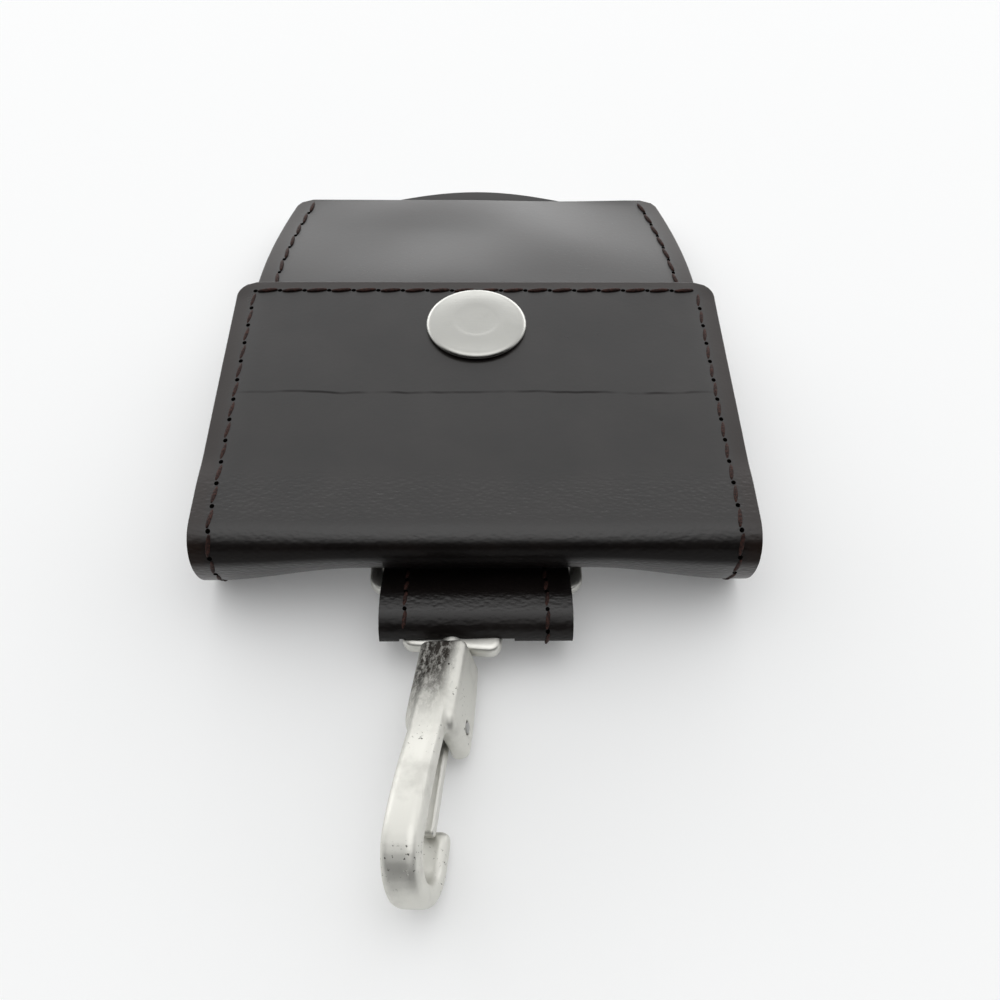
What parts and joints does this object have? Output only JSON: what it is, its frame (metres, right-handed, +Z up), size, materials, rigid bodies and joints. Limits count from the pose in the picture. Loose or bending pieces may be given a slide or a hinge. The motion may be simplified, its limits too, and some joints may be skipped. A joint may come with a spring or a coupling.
{
  "type": "leather pouch",
  "caption": "Flat leather pouch with a folded snap flap, and a swivel snap hook on a leather loop and metal ring at its mouth.",
  "frame": {"origin": "middle of the footprint, on the surface that the pouch lies on with its back down", "axes": "+Z up out of the flap, +Y from the hook and the folded mouth towards the pouch's bottom edge, X across"},
  "size_m": [0.074, 0.1362, 0.0175],
  "materials": {
    "leather": "polished dark brown leather with fine grain",
    "lining": "matt dark brown lining leather",
    "nickel": "worn nickel plate",
    "steel": "plain spring steel"
  },
  "bodies": {
    "pouch": {"back_panel": "leather", "back_lining": "lining", "pocket_front": "leather", "fold_outer": "leather", "fold_lining": "lining", "ring_keeper": "leather", "snap_stud": "nickel", "stud_rivet": "nickel"},
    "flap": {"flap_outer": "leather", "flap_lining": "lining", "snap_cap": "nickel", "snap_socket": "nickel"},
    "ring": {"strap_ring": "nickel"},
    "tab": {"tab_loop": "leather"},
    "eye": {"swivel_eye": "nickel"},
    "hook": {"hook_body": "nickel", "swivel_pin": "nickel", "gate_pin": "steel", "gate_spring": "steel"},
    "gate": {"gate": "nickel"}
  },
  "joints": [
    {"name": "flap_fold", "type": "hinge", "parent": "pouch", "child": "flap", "pos_m": [0, -0.02338, 0.008], "axis": [1, 0, 0], "range_deg": [0, 100], "deforming": ["fold_outer", "fold_lining"]},
    {"name": "ring_swing", "type": "hinge", "parent": "pouch", "child": "ring", "pos_m": [0, -0.00918, 0.00245], "axis": [1, 0, 0], "range_deg": [0, 90]},
    {"name": "loop_swing", "type": "hinge", "parent": "ring", "child": "tab", "pos_m": [0, -0.02404, 0.00354], "axis": [1, 0, 0], "range_deg": [-20, 40]},
    {"name": "eye_swing", "type": "hinge", "parent": "tab", "child": "eye", "pos_m": [-0.0024, -0.02753, 0.00517], "axis": [0.9914, -0.1183, 0.0552], "range_deg": [0, 40]},
    {"name": "hook_swivel", "type": "hinge", "parent": "eye", "child": "hook", "pos_m": [-0.00336, -0.03547, 0.00535], "axis": [0.1197, 0.9925, -0.0229], "continuous": true},
    {"name": "gate_pivot", "type": "hinge", "parent": "hook", "child": "gate", "pos_m": [-0.00406, -0.04509, 0.00377], "axis": [-0.9633, 0.1105, -0.2446], "range_deg": [0, 18], "stiffness_Nm_per_rad": 0.01, "springref_deg": -8.59}
  ]
}
